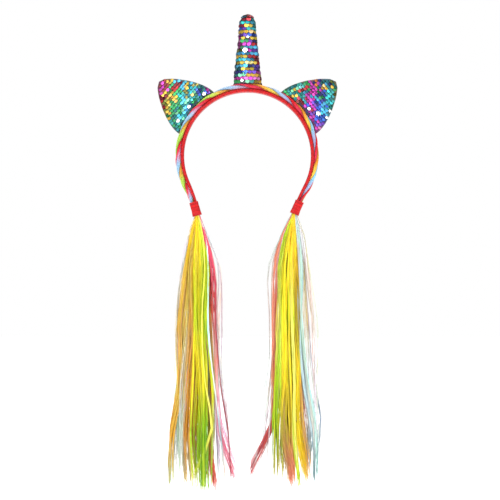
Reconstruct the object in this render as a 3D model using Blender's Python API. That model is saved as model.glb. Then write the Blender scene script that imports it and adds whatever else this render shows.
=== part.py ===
"""Unicorn horn headband: a satin-covered hoop, a twist of three hair ropes along it, a sequinned horn,
two sequinned ears, and a long tail of straight hair that leaves a red tie at each end of the hoop.

Metres, +Z up, seen from the front along +Y. The origin is the middle of the hoop's inner face at its top,
where it sits on the head, and the tails hang straight down.
"""

import math
from collections import namedtuple

import bmesh
import bpy
from mathutils import Matrix, Vector

# Clearance between two pieces that touch on the real headband
GAP = 0.0003

# Hoop: a flat springy band covered in red satin, round over the head, with slightly flared legs
HOOP_INNER_RADIUS = 0.0635
BAND_THICKNESS = 0.0030
BAND_WIDTH = 0.0120
BAND_CORNER = 0.0009
TIP_THICKNESS = 0.0024
TIP_WIDTH = 0.0070
Leg = namedtuple("Leg", "round_to flare length")
LEFT, RIGHT = -1, 1
LEGS = {
    LEFT: Leg(round_to=math.radians(114), flare=math.radians(10), length=0.0290),
    RIGHT: Leg(round_to=math.radians(117), flare=math.radians(4), length=0.0250),
}

# Twist: three ropes of hair laid round each other on the front of the band's outer face
TWIST_RADIUS = 0.0026
TWIST_TIP_RADIUS = 0.0020
TWIST_PITCH = 0.0502
TWIST_FORWARD = 0.0034
ROPES = ("twist_red", "twist_yellow", "twist_blue")

# Stuffed pieces: sequinned pouches, each row of sequins lapping over the row below
PAD_BACK = 0.0010
SEQUIN_LIFT = 0.0005
HORN_HEIGHT = 0.0750
HORN_WIDTH = 0.0290
HORN_TOP_WIDTH = 0.0154
HORN_DEPTH = 0.0220
HORN_TOP_DEPTH = 0.0145
HORN_HEM_DEPTH = 0.0120
HORN_HEM_HEIGHT = 0.0140
HORN_ROUND = 0.0110
HORN_ROW = 0.0030
EAR_ANGLE = math.radians(50)
EAR_HEIGHT = 0.0490
EAR_WIDTH = 0.0556
EAR_DEPTH = 0.0110
EAR_HEM_DEPTH = 0.0090
EAR_ROW = 0.0035

# Ties: sleeves of red ribbon that hold the hoop's tip, the twist and the head of a tail
TIE_LENGTH = 0.0140
TIE_GRIP = 0.0080
TIE_WALL = 0.0007
TIE_FLARE = 0.0004
TIE_SLACK = 0.0006
TIE_SQUARENESS = 4

# Tails: locks of straight hair, fused to a head that the tie holds
TAIL_LENGTH = 0.2740
TAIL_SPREAD = 0.0400
TAIL_DEPTH = 0.0200
TAIL_HEAD_SHOWS = 0.0012
LOCK_WIDTH = 0.0090
LOCK_FLATNESS = 0.6
LOCK_ROOT_WIDTH = 0.0038
LOCK_ROOT_LENGTH = 0.0015
LOCK_TIP = 0.3
LOCK_FULL_BY = 0.25
LOCK_APART_BY = 0.33
LOCK_THINS_FROM = 0.6

# Facets
BAND_STEP = 0.0070
ROPE_STEP = 0.0055
PAD_SIDES = 16
TIE_SIDES = 20
LOCK_STEPS = 10
LOCK_SIDES = 6
LOCK_CROWDING = 1.25

RED_SATIN = ((0.78, 0.03, 0.04), 0.38)
RED_RIBBON = ((0.86, 0.04, 0.05), 0.45)
RED_HAIR = ((0.86, 0.08, 0.12), 0.35)
YELLOW_HAIR = ((0.93, 0.72, 0.08), 0.35)
BLUE_HAIR = ((0.50, 0.70, 0.90), 0.35)
SEQUINS = ((0.20, 0.55, 0.70), 0.22)
MIXED_HAIR = ((0.90, 0.78, 0.12), 0.35)

HOOP_CENTRE = Vector((0, 0, -HOOP_INNER_RADIUS))
BAND_OUTER_RADIUS = HOOP_INNER_RADIUS + BAND_THICKNESS
SEAT_RADIUS = BAND_OUTER_RADIUS + GAP
TWIST_OUTER_RADIUS = SEAT_RADIUS + 2 * TWIST_RADIUS
BEHIND_TWIST = -TWIST_FORWARD + TWIST_RADIUS + GAP


def clear_scene():
    for thing in list(bpy.data.objects):
        bpy.data.objects.remove(thing)


def material(name, look, metallic=0.0):
    colour, roughness = look
    made = bpy.data.materials.new(name)
    made.use_nodes = True
    shader = made.node_tree.nodes["Principled BSDF"]
    shader.inputs["Base Color"].default_value = (*colour, 1)
    shader.inputs["Roughness"].default_value = roughness
    shader.inputs["Metallic"].default_value = metallic
    return made


def add_object(name, data, look):
    made = bpy.data.objects.new(name, data)
    bpy.context.scene.collection.objects.link(made)
    data.materials.append(look)
    return made


def finish_mesh(name, shape):
    """The bmesh as a mesh with its faces outwards, smooth where it is round."""
    bmesh.ops.recalc_face_normals(shape, faces=shape.faces)
    mesh = bpy.data.meshes.new(name)
    shape.to_mesh(mesh)
    shape.free()
    mesh.shade_smooth()
    mesh.set_sharp_from_angle(angle=math.radians(40))
    return mesh


def loft(name, sections):
    """A solid: a face on the first section, extruded through the others."""
    shape = bmesh.new()
    face = shape.faces.new([shape.verts.new(point) for point in sections[0]])
    for section in sections[1:]:
        face = bmesh.ops.extrude_discrete_faces(shape, faces=[face])["faces"][0]
        for vert, point in zip(face.verts, section):
            vert.co = point
    open_edges = [edge for edge in shape.edges if edge.is_boundary]
    bmesh.ops.holes_fill(shape, edges=open_edges)
    return finish_mesh(name, shape)


def sleeve(name, outer, inner):
    """A tube open at both ends: rings down its outer skin, then back up its inner skin."""
    shape = bmesh.new()
    rings = [[shape.verts.new(point) for point in ring] for ring in (*outer, *reversed(inner))]
    for ring, following in zip(rings, rings[1:] + rings[:1]):
        for index in range(len(ring)):
            shape.faces.new((ring[index - 1], ring[index], following[index], following[index - 1]))
    return finish_mesh(name, shape)


def ease(share):
    """0 to 1, level at both ends."""
    held = min(1.0, max(0.0, share))
    return held * held * (3 - 2 * held)


def rounded_oval(half_x, half_y, power, sides):
    """Points of an oval that grows squarer as power passes 2."""
    points = []
    for step in range(sides):
        angle = 2 * math.pi * (step + 0.5) / sides
        cosine, sine = math.cos(angle), math.sin(angle)
        points.append(
            (
                math.copysign(half_x * abs(cosine) ** (2 / power), cosine),
                math.copysign(half_y * abs(sine) ** (2 / power), sine),
            )
        )
    return points


def tie_start(leg):
    """Length of leg that shows above its tie."""
    return leg.length - TIE_GRIP


def hoop_place(side, run):
    """Inner face of the hoop at a run from its top: the point, the way outwards and the way onwards."""
    leg = LEGS[side]
    round_run = HOOP_INNER_RADIUS * leg.round_to
    past = max(0.0, run - round_run)
    angle = min(run, round_run) / HOOP_INNER_RADIUS
    point = HOOP_CENTRE + HOOP_INNER_RADIUS * Vector((math.sin(angle), 0, math.cos(angle)))
    half_turn = leg.flare / leg.length * past / 2
    chord = past * (math.sin(half_turn) / half_turn if half_turn else 1.0)
    middle = angle - half_turn
    point += chord * Vector((math.cos(middle), 0, -math.sin(middle)))
    heading = angle - 2 * half_turn
    outwards = Vector((side * math.sin(heading), 0, math.cos(heading)))
    onwards = Vector((side * math.cos(heading), 0, -math.sin(heading)))
    point.x *= side
    return point, outwards, onwards


def narrowing(side, run):
    """How far the hoop has thinned towards its tip: 0 on the round part, 1 from the tie on."""
    leg = LEGS[side]
    return ease((run - HOOP_INNER_RADIUS * leg.round_to) / tie_start(leg))


def whole_run(side):
    """Run from the hoop's top to the tip of one leg."""
    leg = LEGS[side]
    return HOOP_INNER_RADIUS * leg.round_to + leg.length


def stations(step):
    """Places along the hoop, as a side and a run, from the left tip over the top to the right tip."""
    places = []
    for side in (LEFT, RIGHT):
        count = math.ceil(whole_run(side) / step)
        runs = [whole_run(side) * index / count for index in range(count + 1)]
        places += [(side, run) for run in (reversed(runs[1:]) if side == LEFT else runs)]
    return places


def between(first, last, share):
    return first + (last - first) * share


def band_section(side, run):
    """Rounded rectangle across the band, with its inner face on the hoop's line."""
    point, outwards, _ = hoop_place(side, run)
    thin = narrowing(side, run)
    thickness = between(BAND_THICKNESS, TIP_THICKNESS, thin)
    half_width = between(BAND_WIDTH, TIP_WIDTH, thin) / 2
    corner = min(BAND_CORNER, thickness / 2)
    section = []
    for depth_sign, out_sign in ((-1, -1), (1, -1), (1, 1), (-1, 1)):
        middle = Vector((0, depth_sign * (half_width - corner), 0))
        middle += outwards * (thickness / 2 + out_sign * (thickness / 2 - corner))
        first = math.atan2(out_sign, depth_sign) - math.pi / 4
        for turn in (0, math.pi / 4, math.pi / 2):
            around = Vector((0, math.cos(first + turn), 0)) + outwards * math.sin(first + turn)
            section.append(point + middle + corner * around)
    return section


def add_band():
    sections = [band_section(side, run) for side, run in stations(BAND_STEP)]
    add_object("band", loft("band", sections), material("red_satin", RED_SATIN))


def twist_line(side, run):
    """Middle of the twist beside the band: the point, the twist's radius and the way outwards."""
    point, outwards, _ = hoop_place(side, run)
    thin = narrowing(side, run)
    radius = between(TWIST_RADIUS, TWIST_TIP_RADIUS, thin)
    thickness = between(BAND_THICKNESS, TIP_THICKNESS, thin)
    forward = between(TWIST_FORWARD, 0.0, thin)
    middle = point + outwards * (thickness + GAP + radius) + Vector((0, -forward, 0))
    return middle, radius, outwards


def rope_radius(radius):
    """Radius of three equal ropes that lie round each other, a gap apart, inside the twist's radius."""
    return (math.sqrt(3) * radius - GAP) / (2 + math.sqrt(3))


def twist_lengths(places):
    """Length along the twist of each place, counted from the hoop's top."""
    middles = [twist_line(side, run)[0] for side, run in places]
    lengths = [0.0]
    for before, after in zip(middles, middles[1:]):
        lengths.append(lengths[-1] + (after - before).length)
    top = next(length for length, (side, run) in zip(lengths, places) if run == 0)
    return [length - top for length in lengths]


def add_rope(name, order, look):
    """One rope of the twist. Red faces forward at the top, and each rope winds inwards to the right."""
    places = stations(ROPE_STEP)
    curve = bpy.data.curves.new(name, "CURVE")
    curve.dimensions = "3D"
    curve.bevel_depth = 1.0
    curve.bevel_resolution = 2
    curve.use_fill_caps = True
    spline = curve.splines.new("POLY")
    spline.points.add(len(places) - 1)
    for knot, (side, run), length in zip(spline.points, places, twist_lengths(places)):
        middle, radius, outwards = twist_line(side, run)
        thin = rope_radius(radius)
        phase = math.radians(120 * order - 90) - 2 * math.pi * length / TWIST_PITCH
        arm = outwards * math.cos(phase) + Vector((0, math.sin(phase), 0))
        knot.co = (*(middle + arm * (radius - thin)), 1)
        knot.radius = thin
    add_object(name, curve, look)


def add_twist():
    for order, (name, colour) in enumerate(zip(ROPES, (RED_HAIR, YELLOW_HAIR, BLUE_HAIR))):
        add_rope(name, order, material(name + "_hair", colour))


def seat_cutters():
    """What the hoop and the twist take out of a stuffed piece: the band all over, the twist in front."""
    cutters = []
    reach = max(HORN_DEPTH, EAR_DEPTH)
    for name, radius, front, back in (
        ("cutter_band", SEAT_RADIUS, -reach, reach),
        ("cutter_twist", TWIST_OUTER_RADIUS + GAP, -reach, BEHIND_TWIST),
    ):
        shape = bmesh.new()
        turn = Matrix.Rotation(math.radians(90), 4, "X")
        place = Matrix.Translation(HOOP_CENTRE + Vector((0, (front + back) / 2, 0)))
        bmesh.ops.create_cone(
            shape, cap_ends=True, segments=96, radius1=radius, radius2=radius,
            depth=back - front, matrix=place @ turn,
        )
        cutter = bpy.data.objects.new(name, finish_mesh(name, shape))
        bpy.context.scene.collection.objects.link(cutter)
        cutter.hide_render = True
        cutter.display_type = "WIRE"
        cutters.append(cutter)
    return cutters


def rows_up(height, row, width):
    """Edges of the sequin rows. The lowest lies so deep that the hoop's curve cuts the hem all across."""
    sag = SEAT_RADIUS - math.sqrt(SEAT_RADIUS**2 - (width / 2) ** 2)
    count = round(height / row)
    crown = height - SEQUIN_LIFT
    return [-sag - GAP] + [crown * index / count for index in range(1, count + 1)]


def shingled(rows, outline, lift):
    """Sections of a pouch whose rows of sequins each stand proud at their lower edge."""
    sections = []
    for low, high in zip(rows, rows[1:]):
        sections.append(outline(low, lift))
        sections.append(outline(high, 0.0))
    return sections


def seated(name, mesh, look, cutters):
    """A stuffed piece with its foot cut to the hoop and the twist."""
    made = add_object(name, mesh, look)
    for cutter in cutters:
        cut = made.modifiers.new(cutter.name, "BOOLEAN")
        cut.operation = "DIFFERENCE"
        cut.object = cutter
    return made


def horn_outline(height, lift):
    """Section across the horn at a height above its seat: a straight taper under a rounded tip."""
    taper_height = HORN_HEIGHT - HORN_ROUND
    share = min(1.0, height / taper_height)
    past = max(0.0, height - taper_height) / HORN_ROUND
    rounding = math.sqrt(max(0.0, 1 - past * past))
    width = between(HORN_WIDTH, HORN_TOP_WIDTH, share) * rounding
    depth = between(HORN_DEPTH, HORN_TOP_DEPTH, share) * rounding
    depth = between(min(HORN_HEM_DEPTH, depth), depth, ease(height / HORN_HEM_HEIGHT))
    level = HOOP_CENTRE.z + SEAT_RADIUS + height
    return [
        (across, PAD_BACK + deep, level)
        for across, deep in rounded_oval(width / 2 + lift, depth / 2 + lift, 2, PAD_SIDES)
    ]


def add_horn(look, cutters):
    rows = rows_up(HORN_HEIGHT, HORN_ROW, HORN_WIDTH)
    seated("horn", loft("horn", shingled(rows, horn_outline, SEQUIN_LIFT)), look, cutters)


# Ear outline, up from below its seat: height as a share of the ear's height, and width of its width
EarLine = namedtuple("EarLine", "height width")
EAR_OUTLINE = (
    EarLine(-0.30, 0.960),
    EarLine(0.00, 1.000),
    EarLine(0.14, 0.985),
    EarLine(0.27, 0.930),
    EarLine(0.42, 0.830),
    EarLine(0.55, 0.720),
    EarLine(0.66, 0.600),
    EarLine(0.76, 0.490),
    EarLine(0.86, 0.350),
    EarLine(0.94, 0.215),
    EarLine(1.00, 0.000),
)
EAR_SWELL = 2.2
EAR_FULL_BY = 0.3
EAR_EDGE = 1.8


def ear_half_width(share):
    """Read along straight runs of the outline."""
    low, high = next(
        (low, high) for low, high in zip(EAR_OUTLINE, EAR_OUTLINE[1:]) if share <= high.height
    )
    return between(low.width, high.width, (share - low.height) / (high.height - low.height)) * EAR_WIDTH / 2


def ear_outline(height, lift):
    """Section across the ear at a height above the band's outer face: a thin padded lens."""
    share = height / EAR_HEIGHT
    half_width = ear_half_width(share)
    half_depth = EAR_DEPTH / 2 * math.sqrt(1 - max(0.0, share) ** EAR_SWELL)
    half_depth = between(min(EAR_HEM_DEPTH / 2, half_depth), half_depth, ease(share / EAR_FULL_BY))
    return [
        (across, PAD_BACK + deep, SEAT_RADIUS + height)
        for across, deep in rounded_oval(half_width + lift, half_depth + lift, EAR_EDGE, PAD_SIDES)
    ]


def add_ear(name, side, look, cutters):
    """Built pointing straight up from the hoop's centre, then swung round it to its place."""
    rows = rows_up(EAR_HEIGHT, EAR_ROW, EAR_WIDTH)
    ear = seated(name, loft(name, shingled(rows, ear_outline, SEQUIN_LIFT)), look, cutters)
    ear.location = HOOP_CENTRE
    ear.rotation_euler = (0, side * EAR_ANGLE, 0)


def tie_half_sizes():
    """Half the bore of a tie, outwards and front to back, round the hoop's tip with the twist beside it."""
    outwards = (TIP_THICKNESS + GAP + 2 * TWIST_TIP_RADIUS) / 2 + GAP
    return outwards, max(TIP_WIDTH / 2, TWIST_TIP_RADIUS) + GAP + TIE_SLACK


def tie_place(side):
    """Upper end of a tie's bore, on its own straight line: the point, the way outwards and the way down."""
    leg = LEGS[side]
    run = HOOP_INNER_RADIUS * leg.round_to + tie_start(leg) + TIE_GRIP / 2
    point, outwards, onwards = hoop_place(side, run)
    bore_half = tie_half_sizes()[0]
    return point + outwards * (bore_half - GAP) - onwards * TIE_GRIP / 2, outwards, onwards


def tie_section(side, down, grow):
    """A squarish ring round the tie's line, a length below its upper end."""
    start, outwards, onwards = tie_place(side)
    half_out, half_deep = tie_half_sizes()
    ring = rounded_oval(half_out + grow, half_deep + grow, TIE_SQUARENESS, TIE_SIDES)
    middle = start + onwards * down
    return [middle + outwards * out + Vector((0, deep, 0)) for out, deep in ring]


# How far a tie's outer face flares at shares of its length, as shares of its flare
TieLine = namedtuple("TieLine", "down flare")
TIE_OUTLINE = (TieLine(0.0, 0.6), TieLine(0.12, 0.0), TieLine(0.6, 0.0), TieLine(1.0, 1.0))


def add_tie(name, side, look):
    outer = [
        tie_section(side, line.down * TIE_LENGTH, TIE_WALL + line.flare * TIE_FLARE)
        for line in TIE_OUTLINE
    ]
    inner = [tie_section(side, down, 0.0) for down in (0.0, TIE_LENGTH)]
    add_object(name, sleeve(name, outer, inner), look)


# Locks of each tail. high, middle, low and end are how far across a lock hangs, in shares of the
# tail's spread from the tie; drop is a share of its length, deep of its depth, and wide of a lock's width.
LOCK_KNOTS = (0.0, 0.165, 0.42, 0.675, 1.0)
Lock = namedtuple("Lock", "high middle low end drop deep wide")
LEFT_LOCKS = (
    Lock(0.04, -0.01, 0.01, 0.04, 0.880, 0.10, 2.40),
    Lock(-0.24, -0.49, -0.50, -0.62, 0.978, 0.15, 0.75),
    Lock(-0.16, -0.31, -0.36, -0.39, 0.934, -0.15, 1.00),
    Lock(-0.12, -0.19, -0.24, -0.21, 0.982, 0.45, 1.00),
    Lock(-0.06, -0.09, -0.15, -0.09, 0.989, -0.25, 1.00),
    Lock(0.01, 0.01, 0.06, 0.11, 0.996, -0.45, 1.15),
    Lock(0.15, 0.11, 0.23, 0.18, 0.996, -0.35, 1.10),
    Lock(0.24, 0.23, 0.36, 0.09, 0.905, -0.50, 0.50),
    Lock(0.26, 0.29, 0.36, 0.29, 0.978, 0.10, 0.90),
    Lock(0.34, 0.37, 0.34, 0.45, 1.000, 0.45, 0.90),
    Lock(0.42, 0.46, 0.50, 0.94, 0.964, -0.05, 0.70),
    Lock(0.44, 0.53, 0.71, 0.91, 0.938, 0.20, 0.35),
    Lock(0.31, 0.40, 0.56, 0.71, 0.978, -0.20, 0.60),
)
RIGHT_LOCKS = (
    Lock(-0.11, -0.14, -0.11, -0.09, 0.880, 0.10, 2.40),
    Lock(-0.48, -0.56, -0.62, -0.75, 0.865, 0.15, 0.40),
    Lock(-0.44, -0.50, -0.54, -1.04, 0.942, -0.10, 0.65),
    Lock(-0.34, -0.44, -0.51, -0.49, 0.953, 0.30, 0.80),
    Lock(-0.29, -0.34, -0.39, -0.41, 0.956, -0.20, 1.00),
    Lock(-0.20, -0.24, -0.26, -0.04, 0.989, -0.40, 1.10),
    Lock(-0.12, -0.14, -0.16, -0.09, 0.975, 0.45, 1.00),
    Lock(-0.06, -0.06, 0.01, 0.11, 0.996, -0.45, 0.90),
    Lock(0.01, 0.05, 0.11, 0.34, 0.975, -0.25, 1.05),
    Lock(0.06, 0.11, 0.19, 0.29, 0.938, 0.40, 0.90),
    Lock(0.12, 0.20, 0.29, 0.33, 0.942, 0.05, 0.80),
    Lock(0.16, 0.25, 0.36, 0.51, 0.971, -0.20, 0.75),
    Lock(0.24, 0.39, 0.54, 0.66, 0.938, 0.20, 0.50),
)


def through(values, share):
    """A smooth line through the values at the lock knots, read at a share of the lock's run."""
    last = len(LOCK_KNOTS) - 1
    index = max(index for index in range(last) if LOCK_KNOTS[index] <= share)
    slopes = []
    for knot in (index, index + 1):
        before, after = max(0, knot - 1), min(last, knot + 1)
        slopes.append((values[after] - values[before]) / (LOCK_KNOTS[after] - LOCK_KNOTS[before]))
    run = LOCK_KNOTS[index + 1] - LOCK_KNOTS[index]
    part = (share - LOCK_KNOTS[index]) / run
    eased = ease(part)
    leaving = slopes[0] * run * part * (1 - part) ** 2
    arriving = slopes[1] * run * part**2 * (part - 1)
    return between(values[index], values[index + 1], eased) + leaving + arriving


def lock_sections(lock, root):
    """Flat hexagons down one lock: narrow at the root, full in the middle, thin at the end."""
    sections = []
    for step in range(LOCK_STEPS + 1):
        share = (step / LOCK_STEPS) ** LOCK_CROWDING
        across = through((0, lock.high, lock.middle, lock.low, lock.end), share) * TAIL_SPREAD
        deep = lock.deep * TAIL_DEPTH * ease(share / LOCK_APART_BY)
        thinned = ease((share - LOCK_THINS_FROM) / (1 - LOCK_THINS_FROM))
        full_width = LOCK_WIDTH * lock.wide * between(1.0, LOCK_TIP, thinned)
        half_width = between(LOCK_ROOT_WIDTH, full_width, ease(share / LOCK_FULL_BY)) / 2
        place = root + Vector((across, deep, -share * lock.drop * TAIL_LENGTH))
        ring = rounded_oval(half_width, half_width * LOCK_FLATNESS, 2, LOCK_SIDES)
        sections.append([place + Vector((x, y, 0)) for x, y in ring])
    return sections


def add_tail(name, side, locks, look):
    """The head fills the tie's bore below the hoop's tip, and each lock is fused to it."""
    start, _, onwards = tie_place(side)
    head = [
        tie_section(side, down, -GAP)
        for down in (TIE_GRIP + GAP, TIE_LENGTH + TAIL_HEAD_SHOWS)
    ]
    root = start + onwards * (TIE_LENGTH - LOCK_ROOT_LENGTH)
    strands = bmesh.new()
    for lock in locks:
        loose = loft("lock", lock_sections(lock, root))
        strands.from_mesh(loose)
        bpy.data.meshes.remove(loose)
    cutter = bpy.data.objects.new(name + "_locks", finish_mesh(name + "_locks", strands))
    bpy.context.scene.collection.objects.link(cutter)
    cutter.hide_render = True
    cutter.display_type = "WIRE"
    tail = add_object(name, loft(name, head), look)
    fuse = tail.modifiers.new("fuse", "BOOLEAN")
    fuse.operation = "UNION"
    fuse.object = cutter
    fuse.use_self = True


def build():
    clear_scene()
    add_band()
    add_twist()
    cutters = seat_cutters()
    sequins = material("sequins", SEQUINS, metallic=0.8)
    add_horn(sequins, cutters)
    add_ear("ear_left", LEFT, sequins, cutters)
    add_ear("ear_right", RIGHT, sequins, cutters)
    ribbon = material("red_ribbon", RED_RIBBON)
    add_tie("tie_left", LEFT, ribbon)
    add_tie("tie_right", RIGHT, ribbon)
    hair = material("mixed_hair", MIXED_HAIR)
    add_tail("tail_left", LEFT, LEFT_LOCKS, hair)
    add_tail("tail_right", RIGHT, RIGHT_LOCKS, hair)


build()
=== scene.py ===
import math
import random
from collections import namedtuple

import bmesh
import bpy
import numpy as np
from mathutils import Matrix, Vector


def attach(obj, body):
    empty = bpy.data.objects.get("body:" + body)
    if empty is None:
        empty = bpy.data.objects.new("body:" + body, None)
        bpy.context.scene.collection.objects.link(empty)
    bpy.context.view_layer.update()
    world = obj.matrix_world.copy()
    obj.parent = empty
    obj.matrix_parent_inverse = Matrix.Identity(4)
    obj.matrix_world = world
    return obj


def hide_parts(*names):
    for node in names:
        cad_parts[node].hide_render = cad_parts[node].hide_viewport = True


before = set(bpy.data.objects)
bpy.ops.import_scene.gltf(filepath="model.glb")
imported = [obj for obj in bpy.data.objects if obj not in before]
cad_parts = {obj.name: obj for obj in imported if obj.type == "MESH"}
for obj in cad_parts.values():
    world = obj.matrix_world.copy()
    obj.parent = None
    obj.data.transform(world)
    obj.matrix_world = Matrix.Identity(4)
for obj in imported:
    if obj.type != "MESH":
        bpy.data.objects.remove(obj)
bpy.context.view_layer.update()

# The hoop is a springy plastic strip, bent round over the head and flared at its two legs.
# Red satin ribbon is glued round it lengthwise. Its edges meet along the middle of the inner face,
# and it puckers a little across the strip where the strip bends.
HOOP_RADIUS = 0.0635
HOOP_THICKNESS = 0.0030
HOOP_WIDTH = 0.0120
HOOP_CORNER = 0.0011
HOOP_TIP_THICKNESS = 0.0024
HOOP_TIP_WIDTH = 0.0070
HOOP_STEP = 0.0016
RIBBON_JOIN = 0.00025
TIE_GRIP = 0.0080
Leg = namedtuple("Leg", "round_to flare length")
LEGS = {
    -1: Leg(round_to=math.radians(114), flare=math.radians(10), length=0.0290),
    1: Leg(round_to=math.radians(117), flare=math.radians(4), length=0.0250),
}
HOOP_CENTRE = Vector((0, 0, -HOOP_RADIUS))


def dye(red, green, blue):
    """A colour as it is seen on a screen, 0 to 255, in the linear values that shaders take."""
    return tuple(
        (part / 255 / 12.92) if part <= 10 else ((part / 255 + 0.055) / 1.055) ** 2.4
        for part in (red, green, blue)
    )


def dyes(**screen):
    return {name: dye(*values) for name, values in screen.items()}


def between(first, last, share):
    return first + (last - first) * share


def ease(share):
    held = min(1.0, max(0.0, share))
    return held * held * (3 - 2 * held)


def hoop_place(side, run):
    """Inner face of the hoop at a run from its top: the point, the way outwards and the way onwards."""
    leg = LEGS[side]
    round_run = HOOP_RADIUS * leg.round_to
    past = max(0.0, run - round_run)
    angle = min(run, round_run) / HOOP_RADIUS
    point = HOOP_CENTRE + HOOP_RADIUS * Vector((math.sin(angle), 0, math.cos(angle)))
    half_turn = leg.flare / leg.length * past / 2
    chord = past * (math.sin(half_turn) / half_turn if half_turn else 1.0)
    point += chord * Vector((math.cos(angle - half_turn), 0, -math.sin(angle - half_turn)))
    heading = angle - 2 * half_turn
    point.x *= side
    outwards = Vector((side * math.sin(heading), 0, math.cos(heading)))
    onwards = Vector((side * math.cos(heading), 0, -math.sin(heading)))
    return point, outwards, onwards


def narrowing(side, run):
    """0 on the round part of the hoop, 1 from the tie on."""
    leg = LEGS[side]
    return ease((run - HOOP_RADIUS * leg.round_to) / (leg.length - TIE_GRIP))


def hoop_runs(step):
    """Places along the hoop, as a side and a run, from the left tip over the top to the right tip."""
    places = []
    for side in (-1, 1):
        whole = HOOP_RADIUS * LEGS[side].round_to + LEGS[side].length
        count = math.ceil(whole / step)
        runs = [whole * index / count for index in range(count + 1)]
        places += [(side, run) for run in (reversed(runs[1:]) if side == -1 else runs)]
    return places


def hoop_section(side, run):
    """Across the hoop: rounded edges, and a fine groove where the ribbon's edges meet inside."""
    point, outwards, _ = hoop_place(side, run)
    thin = narrowing(side, run)
    thickness = between(HOOP_THICKNESS, HOOP_TIP_THICKNESS, thin)
    half_width = between(HOOP_WIDTH, HOOP_TIP_WIDTH, thin) / 2
    corner = min(HOOP_CORNER, thickness / 2)
    section = []
    for depth_sign, out_sign in ((-1, -1), (1, -1), (1, 1), (-1, 1)):
        first = math.atan2(out_sign, depth_sign) - math.pi / 4
        for turn in range(5):
            angle = first + turn * math.pi / 8
            deep = depth_sign * (half_width - corner) + corner * math.cos(angle)
            out = thickness / 2 + out_sign * (thickness / 2 - corner) + corner * math.sin(angle)
            section.append(point + Vector((0, deep, 0)) + outwards * out)
        if (depth_sign, out_sign) == (-1, -1):
            for deep, out in ((-2, 0), (-0.6, 0), (0, RIBBON_JOIN), (0.6, 0), (2, 0)):
                section.append(point + Vector((0, deep * RIBBON_JOIN * 2, 0)) + outwards * out)
    return section


def drawn_through(name, sections, runs, looped=False, apart=None):
    """A closed solid: a face on the first section is extruded through the rest. A looped one is a tube,
    whose last section is bridged to its first. The attribute laid keeps each point's run along it and
    its way round it, in metres, which is measured unless the points are taken as evenly apart."""
    shape = bmesh.new()
    laid = shape.verts.layers.float_vector.new("laid")
    face = shape.faces.new([shape.verts.new(point) for point in sections[0]])
    rings = [list(face.verts)]
    for section in sections[1:]:
        face = bmesh.ops.extrude_discrete_faces(shape, faces=[face])["faces"][0]
        rings.append(list(face.verts))
        for vert, point in zip(face.verts, section):
            vert.co = point
    if looped:
        bmesh.ops.delete(shape, geom=[face], context="FACES_ONLY")
    close = bmesh.ops.bridge_loops if looped else bmesh.ops.holes_fill
    close(shape, edges=[edge for edge in shape.edges if edge.is_boundary])
    for ring, section, run in zip(rings, sections, runs):
        around = 0.0
        for index, vert in enumerate(ring):
            if index:
                around += apart or (Vector(section[index]) - Vector(section[index - 1])).length
            vert[laid] = (run, around, 0)
    return settled(name, shape)


def settled(name, shape):
    """The bmesh as an object in the scene, smooth but for its sharp edges."""
    bmesh.ops.recalc_face_normals(shape, faces=shape.faces)
    mesh = bpy.data.meshes.new(name)
    shape.to_mesh(mesh)
    shape.free()
    mesh.shade_smooth()
    mesh.set_sharp_from_angle(angle=math.radians(50))
    piece = bpy.data.objects.new(name, mesh)
    bpy.context.scene.collection.objects.link(piece)
    return piece


def fill(tree, node, inputs):
    """A node's inputs are set to plain values or joined to other sockets."""
    for name, value in inputs.items():
        if isinstance(value, bpy.types.NodeSocket):
            tree.links.new(value, node.inputs[name])
        else:
            node.inputs[name].default_value = value


def add_node(tree, kind, inputs=None, out=0, **settings):
    """A shader node with its settings and its inputs filled. Gives one of its outputs."""
    made = tree.nodes.new("ShaderNode" + kind)
    for name, value in settings.items():
        setattr(made, name, value)
    fill(tree, made, inputs or {})
    return made.outputs[out] if made.outputs else None


def attribute(tree, name, out="Vector"):
    return add_node(tree, "Attribute", out=out, attribute_name=name)


def stretched(tree, where, scale):
    return add_node(tree, "Mapping", {"Vector": where, "Scale": scale})


def noise(tree, where, detail, scale=1.0):
    return add_node(tree, "TexNoise", {"Vector": where, "Scale": scale, "Detail": detail})


def multiplied(tree, first, second):
    return add_node(tree, "Math", {0: first, 1: second}, operation="MULTIPLY")


def bumped(tree, height, distance, strength):
    return add_node(tree, "Bump", {"Height": height, "Distance": distance, "Strength": strength})


def ramp_of(tree, factor, stops):
    """A colour ramp with these (place, colour) stops."""
    ramped = add_node(tree, "ValToRGB", {"Fac": factor})
    elements = ramped.node.color_ramp.elements
    while len(elements) < len(stops):
        elements.new(0.5)
    for element, (place, colour) in zip(elements, stops):
        element.position = place
        element.color = (*colour, 1)
    return ramped


def new_finish(name):
    """A material and its node tree."""
    made = bpy.data.materials.new(name)
    made.use_nodes = True
    return made, made.node_tree


def finished(made, **sockets):
    """The material, with the sockets of its Principled shader filled."""
    inputs = {name.replace("_", " "): value for name, value in sockets.items()}
    fill(made.node_tree, made.node_tree.nodes["Principled BSDF"], inputs)
    return made


def new_group(name, given, results):
    """A shader node group with these inputs and outputs, each a name and a kind of value."""
    group = bpy.data.node_groups.new(name, "ShaderNodeTree")
    for names, way in ((given, "INPUT"), (results, "OUTPUT")):
        for socket, kind in names:
            group.interface.new_socket(socket, in_out=way, socket_type="NodeSocket" + kind)
    return group, group.nodes.new("NodeGroupInput"), group.nodes.new("NodeGroupOutput")


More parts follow.
